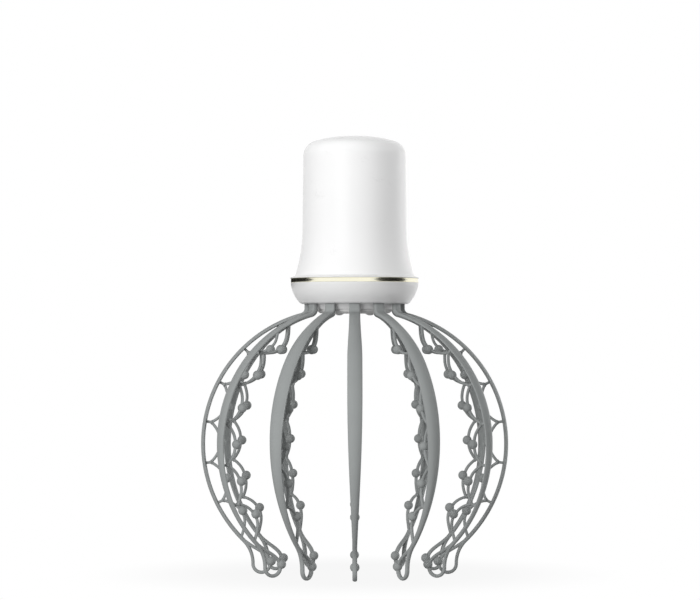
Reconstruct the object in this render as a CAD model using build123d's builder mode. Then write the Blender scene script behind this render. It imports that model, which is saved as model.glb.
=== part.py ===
from build123d import *
import os
from math import acos, cos, degrees, radians, sin, sqrt

# Electric scalp massager: a battery handpiece that shakes a cage of springy claws.
#
# Millimetres, +Z up. The origin is on the floor under the middle of the cage and the
# claw tips stand on Z = 0. The first claw points at -Y, which is the front, and the
# charging port looks out at +Y. Heights are stacked from the tips upwards, so a change
# of one length moves whatever stands on it.

# ---------------------------------------------------------------- driving dimensions
# Claw cage
claw_count = 12
claw_reach = 86.0  # radius of the cage at its widest, over the claws' outer faces
shoulder_rise = 73.0  # from the widest point up to the elbow
neck_length = 5.1  # straight stem between the elbow and the bowl
lower_sweep = 45.7  # degrees of arc from the widest point down to the fork
elbow_outer_radius = 2.5
elbow_inner_radius = 5.0
spine_thickness = 2.35
back_bevel = 1.0
belly_width = 8.6  # corner to corner of the front outline, before it is rounded
belly_rise = 34.8  # height of the broadest place above the widest point
taper_drop = 6.0  # the stem starts to broaden this far under the elbow
outline_rounding = 400.0

# Claw tip, a teardrop loop on two legs
tip_ring_radius = 52.1  # radius on which the loops stand
loop_radius = 5.7
leg_straight = 0.3
leg_bend_radius = 17.0
leg_thickness = 1.9
fork_overlap = 2.0  # the legs start this far up inside the spine
tip_width = 2.4
tip_ball_angle = 164.0  # place of the last ball round the loop, degrees

# Massage rail inside each claw
scallop_count = 6
rail_start = 15.9  # along the outer face from the elbow to the first scallop
rail_end = 2.0  # along the outer face from the last scallop to the fork
rail_depth = 4.9  # outer face to the cusps between scallops
rail_belly = 10.6  # outer face to the middle of each scallop
rail_thickness = 1.6
rail_width = 2.0
strut_thickness = 1.5
ball_depth = 11.5  # outer face to the balls
ball_diameter = 5.5

# Claw root, a cross bar held in a groove
stem_radius = 26.65  # pitch circle of the stems
stem_thickness = 2.9
stem_width = 5.8
bar_diameter = 3.0
bar_length = 9.5
bar_sink = 0.1  # axis of the bar under the top of the bowl's floor
groove_clearance = 0.05
slot_side_clearance = 0.3
slot_swing_clearance = 0.65  # outwards, for the claw's swing

# Base bowl
bowl_height = 11.85
bowl_radius = 35.7
foot_margin = 1.5  # bowl outside the stems
bowl_bulge = 0.75
bowl_edge = 0.8
bowl_edge_bevel = 1.0
floor_thickness = 2.4
cavity_foot_inset = 0.5
rim_ledge = 4.2  # the rim stands in from the bowl's outside
rim_wall = 1.8
rim_height = 4.5

# Crown pad under the bowl
crown_radius = 21.0
crown_depth = 5.2
crown_wall = 1.8
crown_bevel = 2.3
nub_count = 6
nub_circle_radius = 10.0
nub_diameter = 5.6
nub_height = 1.1
nub_taper = 30.0

# Trim ring
trim_height = 2.5
trim_edge = 0.25

# Upper shell
shell_height = 79.8
shell_wall = 2.0
roof_thickness = 3.4
lip_overhang = 0.5
lip_height = 1.3
lip_reach = 2.8
flare_height = 28.6
waist_radius = 29.2
shoulder_radius = 28.7
dome_rise = 4.5
shoulder_round = 8.5
inner_bevel = 8.0
hook_count = 4
hook_width = 8.0
hook_thickness = 1.4
hook_reach = 1.4
hook_gap = 0.2
hook_side_gap = 0.5
knee_height = 12.0  # knee of the inner wall, part way up the flare
knee_outset = 0.3

# Power button and its seal
button_radius = 10.0
button_gap = 0.25
button_dish = 1.0
button_rim_drop = 0.65
button_travel = 0.5
button_skin = 1.6
button_wall = 1.4
flange_overhang = 1.9
flange_thickness = 1.3
collar_depth = 4.4
collar_wall = 2.3
seal_thickness = 0.6
stem_post_radius = 2.2
lens_radius = 1.0
lens_offset = 6.5
lens_clearance = 0.03

# Control board and what it carries
board_drop = 13.6  # apex of the dome to the top of the board
board_gap = 1.1
board_thickness = 1.6
board_post_count = 3
board_post_circle = 20.5
board_post_radius = 3.0
switch_side = 6.0
switch_height = 3.5
plunger_radius = 1.7
plunger_rise = 1.15
plunger_sink = 1.3
plunger_clearance = 0.06
plunger_floor_gap = 0.25
port_width = 8.94
port_height = 3.26
port_length = 7.6
port_wall = 0.32
port_back = 1.0
port_overhang = 1.4  # past the edge of the board
tongue_width = 6.6
tongue_thickness = 0.7
tongue_length = 6.8
port_window_gap = 0.35
chip_size = (5.0, 4.0)
chip_height = 1.4
chip_places = [(-12, 3), (12, 3)]
small_part_size = (2.0, 1.2)
small_part_places = [(-9, -13), (9, -13)]
lamp_height = 0.8

# Claw retainer
retainer_gap = 0.3
retainer_bore = 11.0
retainer_thickness = 3.0
retainer_screw_count = 4
retainer_screw_circle = 15.0
retainer_turn = 45.0
boss_count = 3
boss_margin = 1.0
boss_radius = 3.2
boss_height = 6.6

# Chassis
chassis_gap = 3.0
chassis_thickness = 2.0
cup_wall = 1.6
cup_height = 10.0
clamp_post_circle = 17.0
clamp_post_radius = 3.3
tray_width = 33.0
tray_thickness = 1.4
tray_gap = 0.5
tray_shelf = 2.0
tray_shelf_thickness = 1.5
tray_lip = 1.2
tray_lip_depth = 3.6
tray_lip_height = 28.0
tray_hook = 1.4
tray_hook_width = 4.0

# Motor
motor_radius = 10.0
motor_length = 24.0
motor_cap_length = 2.0
motor_cap_radius = 9.6
motor_nose_radius = 3.0
motor_nose_length = 2.4
nose_gap = 0.5
shaft_radius = 1.0
shaft_clearance = 0.05
shaft_reach = 9.8  # below the motor's nose
weight_radius = 8.5
weight_hub_radius = 3.0
weight_thickness = 6.0
weight_inset = 1.0  # up from the end of the shaft
sleeve_wall = 1.4
sleeve_floor = 1.0
sleeve_height = 12.0
clamp_thickness = 2.2
clamp_ring_wall = 2.6
clamp_arm_width = 6.6
fit_gap = 0.05  # between pieces that seat on one another

# Battery
battery_width = 30.0
battery_thickness = 5.0
battery_length = 40.0
battery_round = 1.2
pad_thickness = 0.8

# Screws and leads
screw_radius = 1.0
screw_head_radius = 1.9
screw_head_height = 1.4
screw_length = 5.5
pilot_clearance = 0.05
pilot_spare = 1.0  # a blind pilot hole runs this far past its screw
lead_radius = 0.65
lead_spacing = 7.0
lead_bend = 5.0
motor_lead_y = -9.0  # where the leads meet the board
battery_lead_y = 12.0

# ------------------------------------------------------------------- worked-out places
stem_outer = stem_radius + stem_thickness / 2
stem_inner = stem_radius - stem_thickness / 2

# Lower arc of the spine. It leaves the widest point upright, and after lower_sweep the
# outer leg bends back to upright over the outside of the tip loop.
sweep_cos = cos(radians(lower_sweep))
sweep_sin = sin(radians(lower_sweep))
leg_line = tip_ring_radius + loop_radius
lower_radius = (claw_reach - leg_line - leg_bend_radius * (1 - sweep_cos)) / (1 - sweep_cos)
leg_bend_z = loop_radius + leg_straight
waist_z = leg_bend_z + (lower_radius + leg_bend_radius) * sweep_sin

# Upper arc of the spine, from the widest point to the elbow on the stem's outer face.
elbow_z = waist_z + shoulder_rise
shoulder_run = claw_reach - stem_outer
upper_radius = (shoulder_run**2 + shoulder_rise**2) / (2 * shoulder_run)
upper_centre = (claw_reach - upper_radius, waist_z)
lower_centre = (claw_reach - lower_radius, waist_z)

bowl_foot_radius = stem_outer + foot_margin
cavity_foot_radius = bowl_foot_radius - cavity_foot_inset
rim_radius = bowl_radius - rim_ledge
rim_inner = rim_radius - rim_wall
lip_radius = bowl_radius + lip_overhang
flare_foot_radius = lip_radius - lip_reach

bowl_z = elbow_z + neck_length
land_z = bowl_z + floor_thickness
bar_z = land_z - bar_sink
seam_z = bowl_z + bowl_height
rim_top_z = seam_z + rim_height
shell_z = seam_z + trim_height
apex_z = shell_z + shell_height
roof_z = apex_z - roof_thickness

# The retainer lies clear of the bowl's wall, whichever way that slopes, and the chassis
# lies inside its rim.
wall_slope = (rim_inner - cavity_foot_radius) / (seam_z - land_z)
retainer_seat = cavity_foot_radius + min(0, wall_slope * retainer_thickness)
retainer_radius = retainer_seat - retainer_gap
chassis_radius = rim_inner - chassis_gap
boss_circle = chassis_radius - boss_margin - boss_radius
board_radius = shoulder_radius - shell_wall - board_gap

retainer_top_z = land_z + retainer_thickness
chassis_z = retainer_top_z + boss_height
chassis_top_z = chassis_z + chassis_thickness
sleeve_top_z = chassis_top_z + sleeve_height
motor_z = chassis_top_z + sleeve_floor + fit_gap
motor_top_z = motor_z + motor_length
cap_top_z = motor_top_z + motor_cap_length
post_top_z = cap_top_z

board_top_z = apex_z - board_drop
board_z = board_top_z - board_thickness
switch_top_z = board_top_z + switch_height
plunger_top_z = switch_top_z + plunger_rise
collar_z = apex_z - collar_depth
seal_z = collar_z - seal_thickness
flange_top_z = seal_z - fit_gap
flange_z = flange_top_z - flange_thickness
flange_radius = button_radius + flange_overhang
collar_bore = button_radius + button_gap

cup_bore = motor_radius + sleeve_wall + 2 * fit_gap
tray_y = cup_bore + cup_wall + tray_gap
pad_y = tray_y + tray_thickness
battery_y = pad_y + pad_thickness + fit_gap
battery_z = chassis_top_z + tray_shelf + tray_shelf_thickness + fit_gap
battery_top_z = battery_z + battery_length
port_z = board_z - port_height / 2

claw_pitch = 360 / claw_count
front = -90  # direction of the first claw, degrees
post_turn = front  # direction of the first post and boss, which keeps them off the port

os.makedirs("parts", exist_ok=True)


def keep(piece, name):
    """Label a finished piece and write it as its own STEP file."""
    piece.label = name
    export_step(piece, f"parts/{name}.step")


# ------------------------------------------------------------------------------- claws
# One claw is drawn in its own upright plane, x outwards from the axis and y up.
claw_plane = Plane.XZ


def on_claw(run, depth):
    """A point of the claw's plane.

    run is measured along the outer face from the widest point, upwards positive, and
    depth goes square in from that face.
    """
    centre, radius = (upper_centre, upper_radius) if run >= 0 else (lower_centre, lower_radius)
    angle = run / radius
    return (
        centre[0] + (radius - depth) * cos(angle),
        centre[1] + (radius - depth) * sin(angle),
    )


elbow_angle = acos((stem_outer - upper_centre[0]) / upper_radius)
inner_angle = acos((stem_inner - upper_centre[0]) / (upper_radius - spine_thickness))
fork_run = -lower_radius * radians(lower_sweep)
rail_top_run = upper_radius * elbow_angle - rail_start
bay = (rail_top_run - fork_run - rail_end) / scallop_count
cusp_runs = [rail_top_run - i * bay for i in range(scallop_count + 1)]
ball_runs = [run - bay / 2 for run in cusp_runs[:-1]]

# The rail's ends run into the middle of the spine and its cusps stand on the struts.
cusps = [on_claw(run, rail_depth) for run in cusp_runs]
cusps[0] = on_claw(cusp_runs[0], spine_thickness / 2)
cusps[-1] = on_claw(cusp_runs[-1], spine_thickness / 2)
bellies = [on_claw(run, rail_belly) for run in ball_runs]
balls = [on_claw(run, ball_depth) for run in ball_runs]

loop_centre = (tip_ring_radius, loop_radius)
loop_line = loop_radius - leg_thickness / 2
tip_ball = (
    loop_centre[0] + loop_radius * cos(radians(tip_ball_angle)),
    loop_centre[1] + loop_radius * sin(radians(tip_ball_angle)),
)
leg_top = on_claw(fork_run, leg_thickness / 2)
fork_root = on_claw(fork_run + fork_overlap, spine_thickness / 2)
leg_centre_x = leg_line + leg_bend_radius
leg_line_radius = leg_bend_radius + leg_thickness / 2
loop_start = (loop_centre[0] + loop_line, loop_centre[1])
loop_end = (
    loop_centre[0] + loop_line * cos(radians(tip_ball_angle)),
    loop_centre[1] + loop_line * sin(radians(tip_ball_angle)),
)

# A ball of 26 flat faces, light enough to be repeated on every claw: a cube whose edges
# are cut back until every face is as wide as the cuts.
with BuildPart() as ball:
    Box(ball_diameter, ball_diameter, ball_diameter)
    chamfer(ball.edges(), length=ball_diameter * (1 - 1 / (1 + sqrt(2))) / 2)

with BuildPart() as claw:
    # Spine and stem seen from the side.
    with BuildSketch(claw_plane) as side:
        with BuildLine():
            Line((stem_inner, bar_z), (stem_outer, bar_z))
            Line((stem_outer, bar_z), (stem_outer, elbow_z))
            CenterArc(upper_centre, upper_radius, 0, degrees(elbow_angle))
            CenterArc(lower_centre, lower_radius, 0, -lower_sweep)
            Line(on_claw(fork_run, 0), on_claw(fork_run, spine_thickness))
            CenterArc(lower_centre, lower_radius - spine_thickness, 0, -lower_sweep)
            inner = CenterArc(
                upper_centre, upper_radius - spine_thickness, 0, degrees(inner_angle)
            )
            Line(inner @ 1, (stem_inner, bar_z))
        make_face()
        fillet(side.vertices().sort_by_distance((stem_outer, elbow_z))[0], elbow_outer_radius)
        fillet(side.vertices().sort_by_distance(inner @ 1)[0], elbow_inner_radius)
    extrude(amount=belly_width, both=True)

    # The same, seen from the front: narrow stem, broad belly, long taper to the fork.
    with BuildSketch(Plane.YZ) as front_view:
        with BuildLine():
            flank = FilletPolyline(
                (stem_width / 2, bar_z),
                (stem_width / 2, elbow_z - taper_drop),
                (belly_width / 2, waist_z + belly_rise),
                (tip_width / 2, leg_top[1]),
                (tip_width / 2, 0),
                radius=outline_rounding,
            )
            Line(flank @ 1, (0, 0))
            Line((0, 0), (0, bar_z))
            Line((0, bar_z), flank @ 0)
        make_face()
        mirror(about=Plane.YZ)
    extrude(amount=claw_reach, mode=Mode.INTERSECT)
    # Bevels along the back of the upper arc leave its flanks thin.
    back = claw.faces().filter_by(
        lambda face: face.geom_type == GeomType.CYLINDER
        and abs(face.radius - upper_radius + spine_thickness) < 0.01
    )[0]
    chamfer(back.edges().filter_by(Axis.Y, reverse=True), length=back_bevel)

    # Fork: a bent strip runs down the outer leg and round the loop, and a straight one
    # comes back up from the last ball.
    with BuildSketch(claw_plane):
        with BuildLine():
            Line(fork_root, leg_top)
            CenterArc(
                (leg_centre_x, leg_bend_z), leg_line_radius, 180 - lower_sweep, lower_sweep
            )
            Line((loop_start[0], leg_bend_z), loop_start)
            CenterArc(loop_centre, loop_line, 0, tip_ball_angle - 360)
        trace(line_width=leg_thickness)
    extrude(amount=tip_width / 2, both=True)
    with BuildSketch(claw_plane):
        with BuildLine():
            Line(loop_end, fork_root)
        trace(line_width=leg_thickness)
    extrude(amount=tip_width / 2, both=True)

    # Scalloped massage rail on its struts.
    with BuildSketch(claw_plane):
        for i in range(scallop_count):
            with BuildLine():
                ThreePointArc(cusps[i], bellies[i], cusps[i + 1])
            trace(line_width=rail_thickness)
        for run in cusp_runs[1:-1]:
            with BuildLine():
                Line(on_claw(run, spine_thickness / 2), on_claw(run, rail_depth))
            trace(line_width=strut_thickness)
    extrude(amount=rail_width / 2, both=True)
    for spot in balls + [tip_ball]:
        with Locations((spot[0], 0, spot[1])):
            add(ball.part)

    # Cross bar of the root.
    with Locations((stem_radius, 0, bar_z)):
        Cylinder(bar_diameter / 2, bar_length, rotation=(90, 0, 0))

for i in range(claw_count):
    with BuildPart() as placed_claw:
        add(claw.part, rotation=(0, 0, front + i * claw_pitch))
    keep(placed_claw.part, f"claw_{i + 1:02d}")

# --------------------------------------------------------------------------- base bowl
groove_radius = bar_diameter / 2 + groove_clearance
groove_length = bar_length + 2 * slot_side_clearance
slot_length = stem_thickness + slot_side_clearance + slot_swing_clearance
slot_shift = (slot_swing_clearance - slot_side_clearance) / 2
hub_z = bowl_z - crown_depth + crown_wall
hub_radius = crown_radius - crown_wall

with BuildPart() as base_bowl:
    with BuildSketch(Plane.XZ):
        with BuildLine():
            Polyline((0, land_z), (0, hub_z), (hub_radius, hub_z), (hub_radius, bowl_z))
            Line((hub_radius, bowl_z), (bowl_foot_radius, bowl_z))
            SagittaArc((bowl_foot_radius, bowl_z), (bowl_radius, seam_z - bowl_edge), -bowl_bulge)
            Polyline(
                (bowl_radius, seam_z - bowl_edge),
                (bowl_radius, seam_z),
                (rim_radius, seam_z),
                (rim_radius, rim_top_z),
                (rim_inner, rim_top_z),
                (rim_inner, seam_z),
                (cavity_foot_radius, land_z),
                (0, land_z),
            )
        make_face()
    revolve(axis=Axis.Z)
    foot_edges = base_bowl.edges().filter_by(GeomType.CIRCLE).filter_by_position(
        Axis.Z, bowl_z, bowl_z
    )
    chamfer(foot_edges.sort_by(SortBy.RADIUS)[-1], bowl_edge_bevel)
    # Slots for the stems and grooves for the cross bars.
    with BuildSketch(Plane.XY.offset(bowl_z)):
        with PolarLocations(stem_radius + slot_shift, claw_count, start_angle=front):
            Rectangle(slot_length, stem_width + 2 * slot_side_clearance)
    extrude(amount=floor_thickness, mode=Mode.SUBTRACT)
    with Locations((0, 0, bar_z)):
        with PolarLocations(stem_radius, claw_count, start_angle=front):
            Cylinder(groove_radius, groove_length, rotation=(90, 0, 0), mode=Mode.SUBTRACT)
    # Pilot holes for the retainer's screws.
    with Locations((0, 0, land_z)):
        with PolarLocations(retainer_screw_circle, retainer_screw_count, start_angle=retainer_turn):
            Hole(
                screw_radius + pilot_clearance,
                depth=screw_length - retainer_thickness + pilot_spare,
            )
    # Windows that the shell's hooks click into.
    with Locations((0, 0, shell_z)):
        with PolarLocations(rim_radius - rim_wall / 2, hook_count):
            Box(rim_wall * 2, hook_width + 2 * hook_side_gap, trim_height, mode=Mode.SUBTRACT)
keep(base_bowl.part, "base_bowl")

# --------------------------------------------------------------------------- crown pad
crown_z = bowl_z - crown_depth

with BuildPart() as crown_pad:
    with BuildSketch(Plane.XY.offset(crown_z)):
        Circle(crown_radius)
    extrude(amount=crown_depth)
    chamfer(crown_pad.edges().group_by(Axis.Z)[0], crown_bevel)
    with BuildSketch(Plane.XY.offset(crown_z + crown_wall)):
        Circle(hub_radius)
    extrude(amount=crown_depth, mode=Mode.SUBTRACT)
    with BuildSketch(Plane.XY.offset(crown_z)):
        with PolarLocations(nub_circle_radius, nub_count, start_angle=front):
            Circle(nub_diameter / 2)
        Circle(nub_diameter / 2)
    extrude(amount=-nub_height, taper=nub_taper)
keep(crown_pad.part, "crown_pad")

# --------------------------------------------------------------------------- trim ring
with BuildPart() as trim_ring:
    with BuildSketch(Plane.XY.offset(seam_z)):
        Circle(bowl_radius)
        Circle(rim_radius + fit_gap, mode=Mode.SUBTRACT)
    extrude(amount=trim_height)
    chamfer(trim_ring.edges().filter_by(GeomType.CIRCLE).sort_by(SortBy.RADIUS)[-2:], trim_edge)
keep(trim_ring.part, "trim_ring")

# ------------------------------------------------------------------------- upper shell
flare_z = shell_z + flare_height
corner_z = apex_z - dome_rise
lip_z = shell_z + lip_height
hook_face = sqrt((rim_inner - hook_gap) ** 2 - (hook_width / 2) ** 2)
hook_root_z = rim_top_z + rim_height
knee_radius = (waist_radius + rim_radius) / 2 - shell_wall + knee_outset
barb_height = trim_height / 2
barb_top_z = shell_z + trim_height / 2 - fit_gap

with BuildPart() as upper_shell:
    with BuildSketch(Plane.XZ) as shell_side:
        with BuildLine():
            Line((0, shell_z), (lip_radius, shell_z))
            Line((lip_radius, shell_z), (flare_foot_radius, lip_z))
            flare = TangentArc((waist_radius, flare_z), (flare_foot_radius, lip_z), tangent=(0, -1))
            Line((waist_radius, flare_z), (shoulder_radius, corner_z))
            TangentArc((0, apex_z), (shoulder_radius, corner_z), tangent=(1, 0))
            Line((0, apex_z), (0, shell_z))
        make_face()
        fillet(
            shell_side.vertices().sort_by_distance((shoulder_radius, corner_z))[0], shoulder_round
        )
    revolve(axis=Axis.Z)
    # Hollow: straight sides over the board, a cone that follows the flare below.
    with BuildSketch(Plane.XZ):
        with BuildLine():
            Polyline(
                (0, shell_z),
                (lip_radius - shell_wall, shell_z),
                (rim_radius + hook_gap, rim_top_z),
                (knee_radius, shell_z + knee_height),
                (waist_radius - shell_wall, flare_z),
                (shoulder_radius - shell_wall, roof_z - inner_bevel),
                (shoulder_radius - shell_wall - inner_bevel, roof_z),
                (0, roof_z),
                close=True,
            )
        make_face()
    revolve(axis=Axis.Z, mode=Mode.SUBTRACT)
    # Collar that guides the button, and posts that carry the board.
    with BuildSketch(Plane.XY.offset(collar_z)):
        Circle(collar_bore + collar_wall)
    extrude(amount=roof_z - collar_z)
    with BuildSketch(Plane.XY.offset(board_top_z)):
        with PolarLocations(board_post_circle, board_post_count, start_angle=post_turn):
            Circle(board_post_radius)
    extrude(amount=roof_z - board_top_z)
    with BuildSketch(Plane.XY.offset(collar_z)):
        Circle(collar_bore)
    extrude(amount=apex_z - collar_z, mode=Mode.SUBTRACT)
    with BuildSketch(Plane.XY.offset(board_top_z)):
        with PolarLocations(board_post_circle, board_post_count, start_angle=post_turn):
            Circle(screw_radius + pilot_clearance)
    extrude(amount=screw_length, mode=Mode.SUBTRACT)
    # Window of the charging port.
    with BuildSketch(Plane.XZ.offset(-board_radius + port_overhang)):
        with Locations((0, port_z)):
            SlotOverall(port_width + 2 * port_window_gap, port_height + 2 * port_window_gap)
    extrude(amount=-board_radius, mode=Mode.SUBTRACT)
    # Snap hooks that reach down inside the bowl's rim and click into its windows.
    with Locations((0, 0, hook_root_z)):
        with PolarLocations(hook_face, hook_count):
            Box(
                hook_thickness, hook_width, hook_root_z - barb_top_z + barb_height,
                align=(Align.MAX, Align.CENTER, Align.MAX),
            )
            Box(
                hook_thickness + rim_wall, hook_width, rim_height / 2,
                align=(Align.CENTER, Align.CENTER, Align.MIN),
            )
    with Locations((0, 0, barb_top_z)):
        with PolarLocations(hook_face, hook_count):
            Box(
                hook_reach * 2, hook_width, barb_height,
                align=(Align.CENTER, Align.CENTER, Align.MAX),
            )
keep(upper_shell.part, "upper_shell")

# ------------------------------------------------------------------------ power button
with BuildPart() as power_button:
    with BuildSketch(Plane.XZ):
        with BuildLine():
            Polyline(
                (0, apex_z - button_dish),
                (0, plunger_top_z),
                (stem_post_radius, plunger_top_z),
                (stem_post_radius, apex_z - button_dish - button_skin),
                (button_radius - button_wall, apex_z - button_dish - button_skin),
                (button_radius - button_wall, flange_z),
                (flange_radius, flange_z),
                (flange_radius, flange_top_z),
                (button_radius, flange_top_z),
                (button_radius, apex_z - button_rim_drop),
            )
            TangentArc(
                (0, apex_z - button_dish), (button_radius, apex_z - button_rim_drop), tangent=(1, 0)
            )
        make_face()
    revolve(axis=Axis.Z)
    with Locations((0, -lens_offset, apex_z)):
        Hole(lens_radius + lens_clearance)
keep(power_button.part, "power_button")

lens_top_z = apex_z - button_dish + (button_dish - button_rim_drop) * (lens_offset / button_radius) ** 2

with BuildPart() as indicator_lens:
    with BuildSketch(Plane.XY.offset(flange_z)):
        with Locations((0, -lens_offset)):
            Circle(lens_radius)
    extrude(amount=lens_top_z - flange_z)
keep(indicator_lens.part, "indicator_lens")

with BuildPart() as button_seal:
    with BuildSketch(Plane.XY.offset(seal_z)):
        Circle(flange_radius)
        Circle(collar_bore, mode=Mode.SUBTRACT)
    extrude(amount=seal_thickness)
keep(button_seal.part, "button_seal")

# ----------------------------------------------------------------------- control board
with BuildPart() as control_board:
    with BuildSketch(Plane.XY.offset(board_z)):
        Circle(board_radius)
        with PolarLocations(board_post_circle, board_post_count, start_angle=post_turn):
            Circle(screw_radius + pilot_clearance, mode=Mode.SUBTRACT)
    extrude(amount=board_thickness)
keep(control_board.part, "control_board")

with BuildPart() as tact_switch:
    with BuildSketch(Plane.XY.offset(board_top_z)):
        Rectangle(switch_side, switch_side)
    extrude(amount=switch_height)
    with Locations((0, 0, switch_top_z)):
        Hole(plunger_radius + plunger_clearance, depth=plunger_sink + button_travel + plunger_floor_gap)
keep(tact_switch.part, "tact_switch")

with BuildPart() as switch_plunger:
    with BuildSketch(Plane.XY.offset(switch_top_z - plunger_sink)):
        Circle(plunger_radius)
    extrude(amount=plunger_sink + plunger_rise)
keep(switch_plunger.part, "switch_plunger")

port_front_y = board_radius + port_overhang
with BuildPart() as usb_port:
    with BuildSketch(Plane.XZ.offset(-port_front_y)):
        with Locations((0, port_z)):
            SlotOverall(port_width, port_height)
            SlotOverall(port_width - 2 * port_wall, port_height - 2 * port_wall, mode=Mode.SUBTRACT)
    extrude(amount=port_length)
    with BuildSketch(Plane.XZ.offset(port_length - port_front_y)):
        with Locations((0, port_z)):
            SlotOverall(port_width, port_height)
    extrude(amount=-port_back)
    with BuildSketch(Plane.XZ.offset(port_length - port_front_y)):
        with Locations((0, port_z)):
            Rectangle(tongue_width, tongue_thickness)
    extrude(amount=-tongue_length)
keep(usb_port.part, "usb_port")

# Charger and driver chips under the board, and the lamp over it.
with BuildPart() as board_parts:
    with BuildSketch(Plane.XY.offset(board_z)):
        with Locations(chip_places):
            Rectangle(*chip_size)
        with Locations(small_part_places):
            Rectangle(*small_part_size)
    extrude(amount=-chip_height)
    with BuildSketch(Plane.XY.offset(board_top_z)):
        with Locations((0, -lens_offset)):
            Rectangle(*small_part_size)
    extrude(amount=lamp_height)
keep(board_parts.part, "board_parts")


def screws(circle, count, seat_z, start_angle, head_up):
    """A group of like pan-head screws on one pitch circle, seated at seat_z."""
    up = 1 if head_up else -1
    with BuildPart() as group:
        with BuildSketch(Plane.XY.offset(seat_z)):
            with PolarLocations(circle, count, start_angle=start_angle):
                Circle(screw_head_radius)
        extrude(amount=up * screw_head_height)
        with BuildSketch(Plane.XY.offset(seat_z)):
            with PolarLocations(circle, count, start_angle=start_angle):
                Circle(screw_radius)
        extrude(amount=-up * screw_length)
    return group.part


keep(screws(board_post_circle, board_post_count, board_z, post_turn, False), "board_screws")

# ------------------------------------------------------------------------ claw retainer
with BuildPart() as claw_retainer:
    with BuildSketch(Plane.XY.offset(land_z)):
        Circle(retainer_radius)
        Circle(retainer_bore, mode=Mode.SUBTRACT)
        with PolarLocations(retainer_screw_circle, retainer_screw_count, start_angle=retainer_turn):
            Circle(screw_radius + pilot_clearance, mode=Mode.SUBTRACT)
    extrude(amount=retainer_thickness)
    with BuildSketch(Plane.XY.offset(retainer_top_z)):
        with PolarLocations(boss_circle, boss_count, start_angle=post_turn):
            Circle(boss_radius)
    extrude(amount=boss_height)
    with BuildSketch(Plane.XY.offset(chassis_z)):
        with PolarLocations(boss_circle, boss_count, start_angle=post_turn):
            Circle(screw_radius + pilot_clearance)
    extrude(amount=-screw_length, mode=Mode.SUBTRACT)
    with Locations((0, 0, bar_z)):
        with PolarLocations(stem_radius, claw_count, start_angle=front):
            Cylinder(groove_radius, groove_length, rotation=(90, 0, 0), mode=Mode.SUBTRACT)
keep(claw_retainer.part, "claw_retainer")
keep(
    screws(
        retainer_screw_circle, retainer_screw_count, retainer_top_z, retainer_turn, True
    ),
    "retainer_screws",
)

# ------------------------------------------------------------------------------ chassis
tray_height = battery_top_z + 2 * fit_gap + tray_hook - chassis_top_z

with BuildPart() as chassis:
    with BuildSketch(Plane.XY.offset(chassis_z)):
        Circle(chassis_radius)
        Circle(motor_nose_radius + nose_gap, mode=Mode.SUBTRACT)
        with PolarLocations(boss_circle, boss_count, start_angle=post_turn):
            Circle(screw_radius + pilot_clearance, mode=Mode.SUBTRACT)
    extrude(amount=chassis_thickness)
    with BuildSketch(Plane.XY.offset(chassis_top_z)):
        Circle(cup_bore + cup_wall)
        Circle(cup_bore, mode=Mode.SUBTRACT)
    extrude(amount=cup_height)
    with BuildSketch(Plane.XY.offset(chassis_top_z)):
        with PolarLocations(clamp_post_circle, 2):
            Circle(clamp_post_radius)
    extrude(amount=post_top_z - chassis_top_z)
    with BuildSketch(Plane.XY.offset(post_top_z)):
        with PolarLocations(clamp_post_circle, 2):
            Circle(screw_radius + pilot_clearance)
    extrude(amount=-screw_length, mode=Mode.SUBTRACT)
    # Battery tray: a wall, a shelf under the cell, lips at its sides, a hook over it.
    with Locations((0, tray_y, chassis_top_z)):
        Box(tray_width, tray_thickness, tray_height, align=(Align.CENTER, Align.MIN, Align.MIN))
    with Locations((0, tray_y, chassis_top_z + tray_shelf)):
        Box(
            tray_width, battery_y - tray_y + battery_thickness, tray_shelf_thickness,
            align=(Align.CENTER, Align.MIN, Align.MIN),
        )
    with Locations((0, pad_y, battery_top_z + 2 * fit_gap)):
        Box(
            tray_hook_width, pad_thickness + battery_thickness / 2, tray_hook,
            align=(Align.CENTER, Align.MIN, Align.MIN),
        )
    with BuildSketch(Plane.XY.offset(chassis_top_z + tray_shelf)):
        with Locations(((tray_width - tray_lip) / 2, pad_y), ((tray_lip - tray_width) / 2, pad_y)):
            Rectangle(tray_lip, tray_lip_depth, align=(Align.CENTER, Align.MIN))
    extrude(amount=tray_lip_height)
keep(chassis.part, "chassis")
keep(screws(boss_circle, boss_count, chassis_top_z, post_turn, True), "chassis_screws")

# -------------------------------------------------------------------------------- motor
sleeve_radius = motor_radius + sleeve_wall + fit_gap

with BuildPart() as motor_sleeve:
    with BuildSketch(Plane.XY.offset(chassis_top_z)):
        Circle(sleeve_radius)
    extrude(amount=sleeve_height)
    with BuildSketch(Plane.XY.offset(chassis_top_z + sleeve_floor)):
        Circle(motor_radius + fit_gap)
    extrude(amount=sleeve_height, mode=Mode.SUBTRACT)
    with BuildSketch(Plane.XY.offset(chassis_top_z)):
        Circle(motor_nose_radius + nose_gap)
    extrude(amount=sleeve_floor, mode=Mode.SUBTRACT)
keep(motor_sleeve.part, "motor_sleeve")

shaft_top_z = motor_top_z - fit_gap
with BuildPart() as motor_can:
    with BuildSketch(Plane.XY.offset(motor_z)):
        Circle(motor_radius)
    extrude(amount=motor_length)
    with BuildSketch(Plane.XY.offset(motor_z)):
        Circle(motor_nose_radius)
    extrude(amount=-motor_nose_length)
    with BuildSketch(Plane.XY.offset(motor_z - motor_nose_length)):
        Circle(shaft_radius + shaft_clearance)
    extrude(amount=motor_length + motor_nose_length, mode=Mode.SUBTRACT)
keep(motor_can.part, "motor_can")

with BuildPart() as motor_end_cap:
    with BuildSketch(Plane.XY.offset(motor_top_z)):
        Circle(motor_cap_radius)
    extrude(amount=motor_cap_length)
keep(motor_end_cap.part, "motor_end_cap")

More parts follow.
